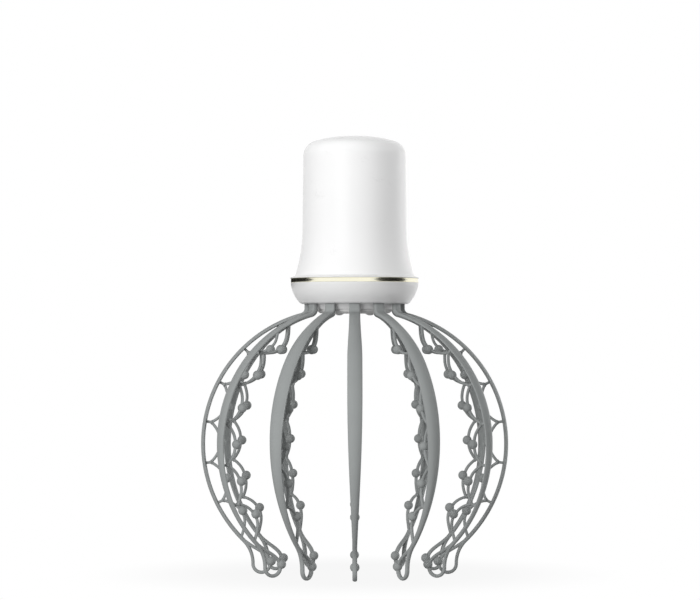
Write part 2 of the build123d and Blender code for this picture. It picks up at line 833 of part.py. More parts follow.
shaft_z = motor_z - motor_nose_length - shaft_reach
with BuildPart() as motor_shaft:
    with BuildSketch(Plane.XY.offset(shaft_z)):
        Circle(shaft_radius)
    extrude(amount=shaft_top_z - shaft_z)
keep(motor_shaft.part, "motor_shaft")

with BuildPart() as eccentric_weight:
    with BuildSketch(Plane.XY.offset(shaft_z + weight_inset)):
        Circle(weight_radius)
        Rectangle(
            2 * weight_radius, weight_radius, align=(Align.CENTER, Align.MIN), mode=Mode.SUBTRACT
        )
        Circle(weight_hub_radius)
        Circle(shaft_radius, mode=Mode.SUBTRACT)
    extrude(amount=weight_thickness)
keep(eccentric_weight.part, "eccentric_weight")

clamp_span = 2 * (clamp_post_circle + clamp_post_radius)
with BuildPart() as motor_clamp:
    with BuildSketch(Plane.XY.offset(cap_top_z + fit_gap)):
        SlotOverall(clamp_span, clamp_arm_width)
        Circle(motor_cap_radius)
        Circle(motor_cap_radius - clamp_ring_wall, mode=Mode.SUBTRACT)
        with PolarLocations(clamp_post_circle, 2):
            Circle(screw_radius + pilot_clearance, mode=Mode.SUBTRACT)
    extrude(amount=clamp_thickness)
keep(motor_clamp.part, "motor_clamp")
keep(screws(clamp_post_circle, 2, cap_top_z + fit_gap + clamp_thickness, 0, True), "clamp_screws")

# ------------------------------------------------------------------------------ battery
with BuildPart() as battery_pad:
    with Locations((0, pad_y, battery_z)):
        Box(
            battery_width - 2 * battery_round, pad_thickness, battery_length - 2 * battery_round,
            align=(Align.CENTER, Align.MIN, Align.MIN),
        )
keep(battery_pad.part, "battery_pad")

with BuildPart() as battery_cell:
    with Locations((0, battery_y, battery_z)):
        Box(
            battery_width, battery_thickness, battery_length,
            align=(Align.CENTER, Align.MIN, Align.MIN),
        )
    chamfer(battery_cell.edges().filter_by(Axis.Z), battery_round)
keep(battery_cell.part, "battery_cell")


def leads(y_low, z_low, y_high, z_high):
    """A pair of insulated wires that rise side by side, with one gentle set-off."""
    with BuildPart() as pair:
        for x in (-lead_spacing / 2, lead_spacing / 2):
            rise = (z_high - z_low) / 3
            with BuildLine() as route:
                FilletPolyline(
                    (x, y_low, z_low),
                    (x, y_low, z_low + rise),
                    (x, y_high, z_high - rise),
                    (x, y_high, z_high),
                    radius=lead_bend,
                )
            with BuildSketch(Plane(route.line @ 0, x_dir=(1, 0, 0), z_dir=route.line % 0)):
                RegularPolygon(lead_radius, 6)
            sweep(path=route.line)
    return pair.part


keep(leads(0, cap_top_z, motor_lead_y, board_z), "motor_leads")
keep(
    leads(battery_y + battery_thickness / 2, battery_top_z, battery_lead_y, board_z),
    "battery_leads",
)
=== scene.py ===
from math import acos, asin, atan2, cos, hypot, pi, radians, sin, sqrt, tan

import bmesh
import bpy
from mathutils import Matrix, Vector


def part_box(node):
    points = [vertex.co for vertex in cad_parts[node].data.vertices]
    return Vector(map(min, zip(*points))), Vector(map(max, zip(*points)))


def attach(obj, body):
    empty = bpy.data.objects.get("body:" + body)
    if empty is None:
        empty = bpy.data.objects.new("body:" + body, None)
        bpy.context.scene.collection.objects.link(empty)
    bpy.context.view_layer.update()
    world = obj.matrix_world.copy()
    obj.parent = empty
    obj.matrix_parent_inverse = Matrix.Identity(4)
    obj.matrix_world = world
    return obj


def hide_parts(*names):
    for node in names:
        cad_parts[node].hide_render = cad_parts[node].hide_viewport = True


mm = 0.001

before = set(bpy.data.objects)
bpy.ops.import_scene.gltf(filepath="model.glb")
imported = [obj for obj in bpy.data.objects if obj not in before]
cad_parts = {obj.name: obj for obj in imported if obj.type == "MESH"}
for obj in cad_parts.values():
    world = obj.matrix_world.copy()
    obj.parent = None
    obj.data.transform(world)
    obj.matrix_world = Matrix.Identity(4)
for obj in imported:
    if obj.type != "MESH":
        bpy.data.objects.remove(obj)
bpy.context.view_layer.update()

# ------------------------------------------------------------------ camera and studio
# A long lens looks at the massager from a little above the middle of the claws. Three soft
# boxes light it: a key from the front left, a rim from behind and a weak one over the dome.
camera_distance = 1.585
camera_height = 0.127
camera_offset = -0.0026
camera_pitch = 0.95
camera_lens = 145.5
film_width = 36.0
nearest = 0.05
front = -90  # bearing of the side that faces the camera


def put(name, data):
    """Put a new object with this data into the scene."""
    made = bpy.data.objects.new(name, data)
    bpy.context.scene.collection.objects.link(made)
    return made


camera = put("camera", bpy.data.cameras.new("camera"))
camera.data.lens = camera_lens
camera.data.sensor_width = film_width
camera.data.clip_start = nearest
camera.location = (camera_offset, -camera_distance, camera_height)
camera.rotation_euler = (radians(90 + camera_pitch), 0, 0)
bpy.context.scene.camera = camera
bpy.context.scene.view_settings.view_transform = "Standard"


class Socket:
    """One output of a node. Sums on it add Math nodes, and node() adds any other node."""

    def __init__(self, tree, output=None):
        self.tree = tree
        self.output = output

    def node(self, kind, values=None, out=0, **settings):
        """Add a node: its settings first, then the values or links of its sockets."""
        made = self.tree.nodes.new(kind)
        for name, setting in settings.items():
            setattr(made, name, setting)
        for name, value in (values or {}).items():
            fit(value, made.inputs[name])
        return Socket(self.tree, made.outputs[out])

    def math(self, operation, *values):
        return self.node("ShaderNodeMath", dict(enumerate(values)), operation=operation)

    def __add__(self, other):
        return self.math("ADD", self, other)

    def __sub__(self, other):
        return self.math("SUBTRACT", self, other)

    def __rsub__(self, other):
        return self.math("SUBTRACT", other, self)

    def __mul__(self, other):
        return self.math("MULTIPLY", self, other)

    def __truediv__(self, other):
        return self.math("DIVIDE", self, other)

    def __pow__(self, other):
        return self.math("POWER", self, other)

    def __abs__(self):
        return self.math("ABSOLUTE", self)

    def __lt__(self, other):
        return self.math("LESS_THAN", self, other)

    def __gt__(self, other):
        return self.math("GREATER_THAN", self, other)

    __radd__ = __add__
    __rmul__ = __mul__

    def smooth(self, low, high):
        """0 below low, 1 above high, and a smooth step between them."""
        values = {"Value": self, "From Min": low, "From Max": high}
        return self.node("ShaderNodeMapRange", values, interpolation_type="SMOOTHSTEP")


def fit(value, socket):
    """Give a node's socket its value, or a link if the value is another node's output."""
    if isinstance(value, Socket):
        value.tree.links.new(value.output, socket)
    else:
        socket.default_value = value


def fill(shader, **values):
    """Fit values to a shader's sockets, which go by their names."""
    for name, value in values.items():
        fit(value, shader.inputs[name.replace("_", " ")])


def lamp(name, place, aim, size, power):
    """A square soft box that faces its aim."""
    light = bpy.data.lights.new(name, "AREA")
    light.shape = "SQUARE"
    light.size = size
    light.energy = power
    box = put(name, light)
    box.location = place
    box.rotation_euler = (Vector(place) - Vector(aim)).to_track_quat("Z", "Y").to_euler()
    box.visible_glossy = False
    box.visible_camera = False


middle = (0, 0, 0.13)
lamp("key", place=(-0.66, -1.30, 0.36), aim=middle, size=0.7, power=17.0)
lamp("rim", place=(1.10, 0.77, 0.27), aim=middle, size=0.6, power=18.5)
lamp("dome", place=(-0.01, -0.05, 0.37), aim=(0, 0, 0.245), size=0.12, power=0.036)


def seen_directly(start):
    """1 where the camera looks, be it straight, by a reflection or through something clear."""
    rays = ("Is Camera Ray", "Is Glossy Ray", "Is Transmission Ray")
    straight, mirrored, through = (start.node("ShaderNodeLightPath", out=ray) for ray in rays)
    return start.math("MAXIMUM", start.math("MAXIMUM", straight, mirrored), through)


# The background is white for the camera and in reflections. Besides it lights softly, more
# from the front than from behind.
ambient = 0.05
ambient_front = 0.58
ambient_edges = (-0.4, 0.95)
ahead = (-0.36, -0.92, 0.12)

world = bpy.data.worlds.new("studio")
bpy.context.scene.world = world
world.use_nodes = True
sky = world.node_tree.nodes["Background"]
start = Socket(world.node_tree)
way = start.node("ShaderNodeTexCoord", out="Generated")
facing = start.node("ShaderNodeVectorMath", {0: way, 1: ahead}, out="Value", operation="DOT_PRODUCT")
soft = ambient + facing.smooth(*ambient_edges) * ambient_front
fill(sky, Color=(1, 1, 1, 1), Strength=soft + seen_directly(start) * (1 - soft))


def new_finish(name):
    """A new material, its shader, and the place on the piece for its other nodes."""
    material = bpy.data.materials.new(name)
    material.use_nodes = True
    place = Socket(material.node_tree).node("ShaderNodeTexCoord", out="Object")
    return material, material.node_tree.nodes["Principled BSDF"], place


# Pale floor: it takes the shadow close to the object and runs out into the white.
floor_reach = 3.0
floor_grey = (0.34, 0.34, 0.34, 1)
floor_roughness = 0.9
shadow_share = 0.09
shadow_edges = (0.06, 0.16)

floor_mesh = bpy.data.meshes.new("floor")
corners = [(x * floor_reach, y * floor_reach, 0) for x, y in ((-1, -1), (1, -1), (1, 1), (-1, 1))]
floor_mesh.from_pydata(corners, [], [(0, 1, 2, 3)])
floor = put("floor", floor_mesh)
floor_finish, matt, place = new_finish("floor")
fill(matt, Base_Color=floor_grey, Roughness=floor_roughness)
glow = place.node("ShaderNodeEmission", {"Color": (1, 1, 1, 1), "Strength": 1.0})
away = place.node("ShaderNodeVectorMath", {0: place}, out="Value", operation="LENGTH")
near = 1 - away.smooth(*shadow_edges)
white = seen_directly(place) * (1 - near * shadow_share)
blend = place.node("ShaderNodeMixShader", {0: white, 1: Socket(place.tree, matt.outputs[0]), 2: glow})
fill(place.tree.nodes["Material Output"], Surface=blend)
floor_mesh.materials.append(floor_finish)


def as_mesh(name, shape):
    """Turn a shape into a mesh, which uses the shape up."""
    mesh = bpy.data.meshes.new(name)
    shape.to_mesh(mesh)
    shape.free()
    return mesh


# Two black flags close round the trim ring, which only polished surfaces show. Each has its
# bearings from the front and the steps over which its ends taper, so that the bands fade out.
flags = {"flag_right": (27, 82, 5, 5), "flag_left": (-170, -60, 18, 5)}
flag_ring = 0.07
flag_z = 0.165
flag_half_height = 0.015
flag_tip_share = 0.02
flag_steps = 24
flag_black = (0.003, 0.003, 0.003, 1)

flag_finish, shader, place = new_finish("flag")
fill(shader, Base_Color=flag_black, Roughness=1.0)
for name, (first, last, first_fade, last_fade) in flags.items():
    shape = bmesh.new()
    columns = []
    for step in range(flag_steps + 1):
        bearing = radians(front + first + (last - first) * step / flag_steps)
        share = min(step / first_fade, (flag_steps - step) / last_fade, 1.0)
        half = flag_half_height * (share * (1 - flag_tip_share) + flag_tip_share)
        spot = (flag_ring * cos(bearing), flag_ring * sin(bearing))
        columns.append([shape.verts.new((*spot, flag_z + rise)) for rise in (-half, half)])
    for left, right in zip(columns, columns[1:]):
        shape.faces.new((left[0], right[0], right[1], left[1]))
    flag = put(name, as_mesh(name, shape))
    flag.data.materials.append(flag_finish)
    flag.visible_camera = False
    flag.visible_diffuse = False
    flag.visible_shadow = False
    flag.visible_transmission = False

# ------------------------------------------------------------------------------ claws
# Twelve sprung claws in grey satin plastic. Each is one moulding: a stem, a crowned spine, a
# scalloped rail with six balls on Y struts, and a teardrop loop with a seventh ball. A cross
# bar at its root lies in a groove of the bowl's floor.
claw_count = 12
claw_reach = 86.0
stem_outer = 28.1
stem_thickness = 2.9
stem_width = 6.1
elbow_fillet = 2.5
shoulder_rise = 73.6
lower_sweep = 45.7
spine_thickness = 2.35
spine_crown = 1.15
spine_flank = 0.6
belly_width = 8.2
belly_top_z = 121.0
belly_foot_z = 104.0
neck_z = 146.0
taper_power = 1.2
fork_rise = 2.0  # how far above the fork the leg and the rail run into the spine
leg_bend_radius = 17.0
leg_straight = 0.3
leg_thickness = 1.9
leg_width = 2.6
leg_pull_low = 6.5  # how firmly each end of the inner leg keeps its direction
leg_pull_high = 9.0
loop_radius = 5.7
loop_ring = 52.1  # radius on which the loops stand
loop_end_turn = -196.0
bar_radius = 1.5
bar_length = 9.5
bar_ring = 26.65
bar_sides = 24

# Squareness of the strip's section: 2 is an oval, more is squarer.
stem_square = 4.5
spine_square = 3.0
leg_square = 2.2
crown_power = 0.7
back_power = 1.5

# Steps along each part of the strip, and points round it.
stem_steps = 4
elbow_steps = 10
upper_steps = 44
lower_steps = 26
bend_steps = 10
loop_steps = 30
leg_steps = 16
strip_points = 28


def heading(angle):
    """The direction at an angle."""
    return Vector((cos(angle), sin(angle)))


sweep = radians(lower_sweep)
leg_line = loop_ring + loop_radius
lower_radius = (claw_reach - leg_line - leg_bend_radius * (1 - cos(sweep))) / (1 - cos(sweep))
leg_bend_z = loop_radius + leg_straight
waist_z = leg_bend_z + (lower_radius + leg_bend_radius) * sin(sweep)
bar_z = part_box("claw_01")[1].z / mm - bar_radius
shoulder_run = claw_reach - stem_outer
upper_radius = (shoulder_run ** 2 + shoulder_rise ** 2) / (2 * shoulder_run)
upper_centre = Vector((claw_reach - upper_radius, waist_z))
lower_centre = Vector((claw_reach - lower_radius, waist_z))
elbow_turn = acos((stem_outer + elbow_fillet - upper_centre.x) / (upper_radius + elbow_fillet))
elbow_centre = upper_centre + (upper_radius + elbow_fillet) * heading(elbow_turn)
bend_centre = Vector((leg_line + leg_bend_radius, leg_bend_z))
loop_centre = Vector((loop_ring, loop_radius))


def noise(place, scale, detail, distortion=0.0):
    """Random soft marks over a piece."""
    values = {"Vector": place, "Scale": scale, "Detail": detail, "Distortion": distortion}
    return place.node("ShaderNodeTexNoise", values)


def stretched(place, scale):
    """Places for marks that are finer along one axis than along another."""
    return place.node("ShaderNodeMapping", {"Vector": place, "Scale": scale})


def tinted(share, dark, light):
    """A blend of two colours. Either may be a blend itself."""
    dark, light = (c if isinstance(c, Socket) else (*c, 1) for c in (dark, light))
    return share.node("ShaderNodeMix", {0: share, 6: dark, 7: light}, out=2, data_type="RGBA")


def relief(height, strength, distance):
    """A fine relief for a shader's normal."""
    values = {"Strength": strength, "Distance": distance, "Height": height}
    return height.node("ShaderNodeBump", values, out="Normal")


# Flow marks of every moulding, and what they and the grain do to its gloss.
flow_scale = 70.0
flow_gloss = 0.12
grain_gloss = 0.06


def moulded(name, colour, roughness, grain=900.0, depth=0.00001, mottle=0.03, **constants):
    """A moulded plastic: faint flow marks in its colour, an uneven gloss and a fine grain."""
    material, shader, place = new_finish(name)
    flow = noise(place, flow_scale, 4.0)
    skin = noise(place, grain, 2.0)
    dark = [c * (1 - mottle) for c in colour]
    light = [c * (1 + mottle) for c in colour]
    fill(
        shader,
        Base_Color=tinted(flow, dark, light),
        Roughness=roughness + (flow - 0.5) * flow_gloss + (skin - 0.5) * grain_gloss,
        Normal=relief(skin, 1.0, depth),
        **constants,
    )
    return material


claw_grey = moulded(
    "claw_grey", (0.278, 0.291, 0.289), 0.44, depth=0.000012, mottle=0.05, Specular_IOR_Level=0.06,
)


def ease(t):
    """A smooth step from 0 to 1."""
    t = min(max(t, 0.0), 1.0)
    return t * t * (3 - 2 * t)


def strip_width(z):
    """Width of the strip at a height: narrow stem, broad belly, long taper to the loop."""
    if z > belly_foot_z:
        return belly_width + (stem_width - belly_width) * ease((z - belly_top_z) / (neck_z - belly_top_z))
    fork_z = lower_centre.y - lower_radius * sin(sweep)
    down = min((belly_foot_z - z) / (belly_foot_z - fork_z), 1.0)
    return leg_width + (belly_width - leg_width) * max(cos(down * pi / 2), 0.0) ** taper_power


def turn_round(centre, radius, first, last, steps):
    """Points of an arc with the direction out of the strip's face. A negative radius is an
    arc that bends outwards."""
    angles = [first + (last - first) * i / steps for i in range(steps + 1)]
    return [(centre + radius * heading(angle), angle) for angle in angles]


# The strip's outer face from the stem's top to the last ball.
stem_run = elbow_centre.y - bar_z
face = [(Vector((stem_outer, bar_z + stem_run * i / stem_steps)), 0.0) for i in range(stem_steps)]
face += turn_round(elbow_centre, -elbow_fillet, 0, elbow_turn, elbow_steps)
elbow_end = len(face)
face += turn_round(upper_centre, upper_radius, elbow_turn, 0, upper_steps)[1:]
face += turn_round(lower_centre, lower_radius, 0, -sweep, lower_steps)[1:]
fork = len(face)
face += turn_round(bend_centre, -leg_bend_radius, -sweep, 0, bend_steps)[1:]
face += turn_round(loop_centre, loop_radius, 0, radians(loop_end_turn), loop_steps)


# Where the strip's form changes: the first point of a change and the points that it takes.
spine_thins = (stem_steps, 12)
leg_thins = (fork - 4, 10)
spine_softens = (elbow_end, 10)
leg_softens = (fork - 8, 12)
crown_grows = (elbow_end - 4, 12)
crown_fades = (fork - 10, 12)


def change(i, first, count):
    """How much of a change is done at a point of the face."""
    return ease((i - first) / count)


stations = []  # centre, direction out of the face, thickness, width, squareness, crowned share
for i, (point, angle) in enumerate(face):
    thickness = stem_thickness + (spine_thickness - stem_thickness) * change(i, *spine_thins)
    thickness += (leg_thickness - spine_thickness) * change(i, *leg_thins)
    width = strip_width(point.y) if i < fork else leg_width
    square = stem_square - (stem_square - spine_square) * change(i, *spine_softens)
    square -= (spine_square - leg_square) * change(i, *leg_softens)
    crowned = change(i, *crown_grows) * (1 - change(i, *crown_fades))
    stations.append((point - heading(angle) * thickness / 2, angle, thickness, width, square, crowned))

# The inner leg climbs from the last ball and runs into the spine above the fork.
leg_start = stations[-1][0]
start_angle = radians(loop_end_turn)
fork_angle = -sweep + fork_rise / lower_radius
leg_finish = lower_centre + (lower_radius - spine_thickness / 2) * heading(fork_angle)
handles = (
    leg_start,
    leg_start - leg_pull_low * heading(start_angle + pi / 2),
    leg_finish - leg_pull_high * heading(fork_angle + pi / 2),
    leg_finish,
)
for i in range(1, leg_steps + 1):
    t = i / leg_steps
    weights = ((1 - t) ** 3, 3 * t * (1 - t) ** 2, 3 * t * t * (1 - t), t ** 3)
    slopes = ((1 - t) ** 2, 2 * t * (1 - t), t * t)
    point = sum((w * h for w, h in zip(weights, handles)), Vector((0, 0)))
    along = sum((w * (b - a) for w, a, b in zip(slopes, handles, handles[1:])), Vector((0, 0)))
    stations.append((point, atan2(along.x, -along.y), leg_thickness, leg_width, leg_square, 0.0))


def section(turn, thickness, width, square, crowned):
    """A point of the strip's section: a rounded square, or a crowned face over a full back
    with thin flanks, or a blend of both. Gives its place across and out of the strip."""
    side, rise = sin(turn), cos(turn)
    across = abs(side) ** (2 / square)
    out = abs(rise) ** (2 / square) * (thickness / 2 if rise > 0 else -thickness / 2)
    wide = abs(side) ** crown_power
    edge = thickness / 2 - spine_crown * wide ** 2
    if rise < 0:
        edge = (thickness - spine_crown - spine_flank) * wide ** back_power - thickness / 2
    across += (wide - across) * crowned
    out += (edge - out) * crowned
    return width / 2 * (across if side > 0 else -across), out


def loft(shape, stations, points):
    """Skin a row of sections, each across its own direction."""
    rings = []
    for centre, angle, *form in stations:
        ring = []
        for j in range(points):
            across, out = section(2 * pi * (j + 0.5) / points, *form)
            spot = centre + heading(angle) * out
            ring.append(shape.verts.new((spot.x, across, spot.y)))
        rings.append(ring)
    for low, high in zip(rings, rings[1:]):
        for j in range(points):
            k = (j + 1) % points
            shape.faces.new((low[j], low[k], high[k], high[j]))
    shape.faces.new(rings[0])
    shape.faces.new(rings[-1])


shape = bmesh.new()
loft(shape, stations, strip_points)
bmesh.ops.create_cone(
    shape, cap_ends=True, segments=bar_sides, radius1=bar_radius, radius2=bar_radius, depth=bar_length,
    matrix=Matrix.Translation((bar_ring, 0, bar_z)) @ Matrix.Rotation(pi / 2, 4, "X"),
)
bmesh.ops.recalc_face_normals(shape, faces=shape.faces)
strip = put("strip", as_mesh("strip", shape))


socket_kinds = {
    float: "NodeSocketFloat",
    int: "NodeSocketInt",
    bpy.types.Material: "NodeSocketMaterial",
}


def open_tree(name, sizes):
    """Start a Geometry Nodes tree and give a socket for each of its named inputs."""
    tree = bpy.data.node_groups.new(name, "GeometryNodeTree")
    tree.interface.new_socket("Geometry", in_out="OUTPUT", socket_type="NodeSocketGeometry")
    tree.interface.new_socket("Geometry", in_out="INPUT", socket_type="NodeSocketGeometry")
    for label, value in sizes.items():
        tree.interface.new_socket(label, in_out="INPUT", socket_type=socket_kinds[type(value)])
    entry = tree.nodes.new("NodeGroupInput")
    return {socket.name: Socket(tree, socket) for socket in entry.outputs if socket.name}


def close_tree(result, material):
    """End a tree: make its instances real, set its material and hand the result out."""
    real = result.node("GeometryNodeRealizeInstances", {"Geometry": result})
    whole = real.node("GeometryNodeSetMaterial", {"Geometry": real, "Material": material})
    fit(whole, whole.tree.nodes.new("NodeGroupOutput").inputs[0])


def joined(first, *others):
    """Several geometries as one."""
    whole = first.node("GeometryNodeJoinGeometry", {"Geometry": first})
    for other in others:
        fit(other, whole.output.node.inputs[0])
    return whole


def grown(base, tree, sizes):
    """Run a tree on an object and keep the result as a plain mesh."""
    modifier = base.modifiers.new(tree.name, "NODES")
    modifier.node_group = tree
    for item in tree.interface.items_tree:
        if item.in_out == "INPUT" and item.name in sizes:
            modifier[item.identifier] = sizes[item.name]
    base.update_tag()
    result = base.evaluated_get(bpy.context.evaluated_depsgraph_get())
    mesh = bpy.data.meshes.new_from_object(result)
    mesh.materials.clear()  # parts made in the tree bring an empty slot with them
    mesh.materials.append(sizes["Material"])
    base.modifiers.remove(modifier)
    return mesh


scallops = 6
rail_top_drop = 16.3  # how far below the stem's top the rail leaves the spine
rail_steps = 26
strut_steps = 8
tube_sides = 12
ball_segments = 20
ball_rings = 12
hollow_power = 2.5  # squareness of a scallop
strut_bite = 0.25
strut_flare = 1.1
claw_crease = 48

rail_top_run = upper_radius * acos((stem_outer - upper_centre.x) / upper_radius) - rail_top_drop
rail_end_run = fork_rise - lower_radius * sweep
claw_sizes = {
    "Reach": claw_reach,
    "Waist height": waist_z,
    "Upper radius": upper_radius,
    "Lower radius": lower_radius,
    "Scallops": scallops,
    "First run": rail_top_run,
    "Bay": (rail_top_run - rail_end_run) / scallops,
    "Root depth": spine_thickness / 2,
    "Cusp depth": 4.9,
    "Belly depth": 10.6,
    "Ball depth": 11.5,
    "Rail thickness": 1.6,
    "Rail width": 2.0,
    "Strut thickness": 1.5,
    "Ball radius": 2.62,
    "Last ball x": loop_centre.x + loop_radius * cos(radians(loop_end_turn)),
    "Last ball z": loop_centre.y + loop_radius * sin(radians(loop_end_turn)),
    "Turn": 0.0,
    "Material": claw_grey,
}
size = open_tree("claw", claw_sizes)
entry = size["Geometry"]


def on_claw(run, depth):
    """A place square in from the outer face, at a run along it from the widest point."""
    radius = size["Lower radius"] + (run > 0) * (size["Upper radius"] - size["Lower radius"])
    angle = run / radius
    x = size["Reach"] - radius + (radius - depth) * run.math("COSINE", angle)
    z = size["Waist height"] + (radius - depth) * run.math("SINE", angle)
    return run.node("ShaderNodeCombineXYZ", {"X": x, "Z": z})


def row(count, name, value):
    """A row of points that keep a value under a name."""
    points = entry.node("GeometryNodeMeshLine", {"Count": count})
    values = {"Geometry": points, "Name": name, "Value": value}
    return entry.node("GeometryNodeStoreNamedAttribute", values, data_type="FLOAT", domain="POINT")


def strands(count, steps, first):
    """Lines of so many steps, one for each bay, that know their bay and how far along they are."""
    index = entry.node("GeometryNodeInputIndex")
    line = row(steps + 1, "along", index / steps)
    bays = row(count, "bay", index + first)
    lines = entry.node("GeometryNodeInstanceOnPoints", {"Points": bays, "Instance": line})
    return entry.node("GeometryNodeRealizeInstances", {"Geometry": lines})


def tube(lines, spots, height, width, swell=1.0):
    """Move lines to their spots and give them an oval section that may swell."""
    moved = entry.node("GeometryNodeSetPosition", {"Geometry": lines, "Position": spots})
    curve = entry.node("GeometryNodeMeshToCurve", {"Mesh": moved})
    ring = entry.node("GeometryNodeCurvePrimitiveCircle", {"Resolution": tube_sides, "Radius": 1.0})
    oval = entry.node("ShaderNodeCombineXYZ", {"X": width / 2, "Y": height / 2, "Z": 1.0})
    ring = entry.node("GeometryNodeTransform", {"Geometry": ring, "Scale": oval})
    return entry.node(
        "GeometryNodeCurveToMesh",
        {"Curve": curve, "Profile Curve": ring, "Scale": swell, "Fill Caps": True},
    )


along, bay = (
    entry.node("GeometryNodeInputNamedAttribute", {"Name": name}, data_type="FLOAT")
    for name in ("along", "bay")
)

# Rail: a hollow in each bay, whose two ends run out of the spine itself.
spot = bay + along
rooted = (spot < 0.5) + (spot > size["Scallops"] - 0.5)
low = size["Cusp depth"] - rooted * (size["Cusp depth"] - size["Root depth"])
bow = 1 - abs(along * 2 - 1) ** hollow_power
run = size["First run"] - spot * size["Bay"]
rail = tube(
    strands(size["Scallops"], rail_steps, 0), on_claw(run, low + (size["Belly depth"] - low) * bow),
    size["Rail thickness"], size["Rail width"],
)

# Struts: they flare into the spine at one end and into the rail's cusp at the other.
run = size["First run"] - bay * size["Bay"]
deep = size["Root depth"] + along * (size["Cusp depth"] + strut_bite - size["Root depth"])
flare = 1 + strut_flare * abs(along * 2 - 1) ** 4
struts = tube(
    strands(size["Scallops"] - 1, strut_steps, 1), on_claw(run, deep),
    size["Strut thickness"], size["Strut thickness"], flare,
)

# Balls: one in the middle of each hollow and one on the loop.
index = entry.node("GeometryNodeInputIndex")
middles = entry.node("GeometryNodeMeshLine", {"Count": size["Scallops"]})
run = size["First run"] - (index + 0.5) * size["Bay"]
middles = entry.node(
    "GeometryNodeSetPosition", {"Geometry": middles, "Position": on_claw(run, size["Ball depth"])}
)
last = entry.node("ShaderNodeCombineXYZ", {"X": size["Last ball x"], "Z": size["Last ball z"]})
last = entry.node("GeometryNodeMeshLine", {"Count": 1, "Start Location": last})
spots = joined(middles, last)
sphere = entry.node(
    "GeometryNodeMeshUVSphere",
    {"Segments": ball_segments, "Rings": ball_rings, "Radius": size["Ball radius"]},
)
sphere = entry.node("GeometryNodeSetShadeSmooth", {"Geometry": sphere})
balls = entry.node("GeometryNodeInstanceOnPoints", {"Points": spots, "Instance": sphere})

whole = entry.node("GeometryNodeSetShadeSmooth", {"Geometry": joined(entry, rail, struts, balls)})
turned = entry.node("ShaderNodeCombineXYZ", {"Z": size["Turn"]})
whole = entry.node(
    "GeometryNodeTransform", {"Geometry": whole, "Rotation": turned, "Scale": (mm, mm, mm)}
)
close_tree(whole, size["Material"])

for i in range(claw_count):
    name = f"claw_{i + 1:02d}"
    claw_sizes["Turn"] = radians(front + i * 360 / claw_count)
    mesh = grown(strip, size["Geometry"].tree, claw_sizes)
    mesh.name = name + "_moulding"
    mesh.set_sharp_from_angle(angle=radians(claw_crease))
    for spare in ("along", "bay"):
        if spare in mesh.attributes:
            mesh.attributes.remove(mesh.attributes[spare])
    claw = put(name + "_moulding", mesh)
    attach(claw, name)
    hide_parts(name)
bpy.data.objects.remove(strip)

# -------------------------------------------------------------------------- crown pad
# A soft silicone cap under the bowl that rests on the head, with a ring of small nubs
# and one in the middle. It is pressed over the bowl's hub.
pad_low, pad_high = (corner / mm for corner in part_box("crown_pad"))
pad_radius = pad_high.x
pad_wall = 1.8
pad_round = 2.4
pad_edge = 0.2
nub_count = 6
nub_ring = 10.0
nub_radius = 3.1
nub_flat = 0.7
nub_height = 1.1
nub_power = 0.8
pad_face_z = pad_low.z + nub_height
face_step = 0.45
face_steps = 39


def rounded(corners, steps=8):
    """Outline through corners of (radius, height, rounding), with an arc at each rounding."""
    outline = []
    for i, (x, z, rounding) in enumerate(corners):
        here = Vector((x, z))
        if not rounding:
            outline.append(here)
            continue
        before = (Vector(corners[i - 1][:2]) - here).normalized()
        after = (Vector(corners[(i + 1) % len(corners)][:2]) - here).normalized()
        half = before.angle(after) / 2
        centre = here + (before + after).normalized() * rounding / sin(half)
        first = here + before * rounding / tan(half) - centre
        last = here + after * rounding / tan(half) - centre
        begin = atan2(first.y, first.x)
        turn = (atan2(last.y, last.x) - begin + pi) % (2 * pi) - pi
        outline += [centre + rounding * heading(begin + turn * k / steps) for k in range(steps + 1)]
    return outline


def revolve(shape, outline, segments=144):
    """Turn a closed outline about the axis. Points on the axis become poles."""
    rings = []
    for point in outline:
        if point.x < 1e-6:
            rings.append([shape.verts.new((0, 0, point.y))])
        else:
            spots = [heading(2 * pi * k / segments) * point.x for k in range(segments)]
            rings.append([shape.verts.new((s.x, s.y, point.y)) for s in spots])
    for one, two in zip(rings, rings[1:] + rings[:1]):
        for k in range(segments):
            n = k + 1
            corners = [one[k % len(one)], one[n % len(one)], two[n % len(two)], two[k % len(two)]]
            corners = list(dict.fromkeys(corners))
            if len(corners) > 2:
                shape.faces.new(corners)


def finished(name, shape, material, crease=32):
    """Turn a shape in millimetres into a piece in metres, shaded smooth up to a crease."""
    bmesh.ops.recalc_face_normals(shape, faces=shape.faces)
    bmesh.ops.scale(shape, vec=(mm, mm, mm), verts=shape.verts)
    mesh = as_mesh(name, shape)
    mesh.shade_smooth()
    mesh.set_sharp_from_angle(angle=radians(crease))
    mesh.materials.append(material)
    return put(name, mesh)


pad_white = moulded("pad_grey_white", (0.56, 0.56, 0.555), 0.54, grain=1400, depth=0.000008)
pad_inner = pad_radius - pad_wall
face_rings = [
    Vector((pad_radius - pad_round - face_step * i, pad_face_z)) for i in range(1, face_steps + 1)
]
outline = rounded(
    [
        (pad_inner, pad_high.z, 0),
        (pad_radius, pad_high.z, pad_edge),
        (pad_radius, pad_face_z, pad_round),
        (face_rings[0].x, pad_face_z, 0),
    ]
)
outline += face_rings[1:]
outline += [Vector((0, pad_face_z)), Vector((0, pad_face_z + pad_wall))]
outline += [Vector((pad_inner, pad_face_z + pad_wall))]
shape = bmesh.new()
revolve(shape, outline, segments=120)
nubs = [Vector((0, 0))]
nubs += [heading(radians(front + k * 360 / nub_count)) * nub_ring for k in range(nub_count)]
for vert in shape.verts:
    if abs(vert.co.z - pad_face_z) < 1e-4:
        gap = min((vert.co.xy - nub).length for nub in nubs)
        vert.co.z -= nub_height * ease((nub_radius - gap) / (nub_radius - nub_flat)) ** nub_power
pad = finished("crown_pad_skin", shape, pad_white, crease=60)
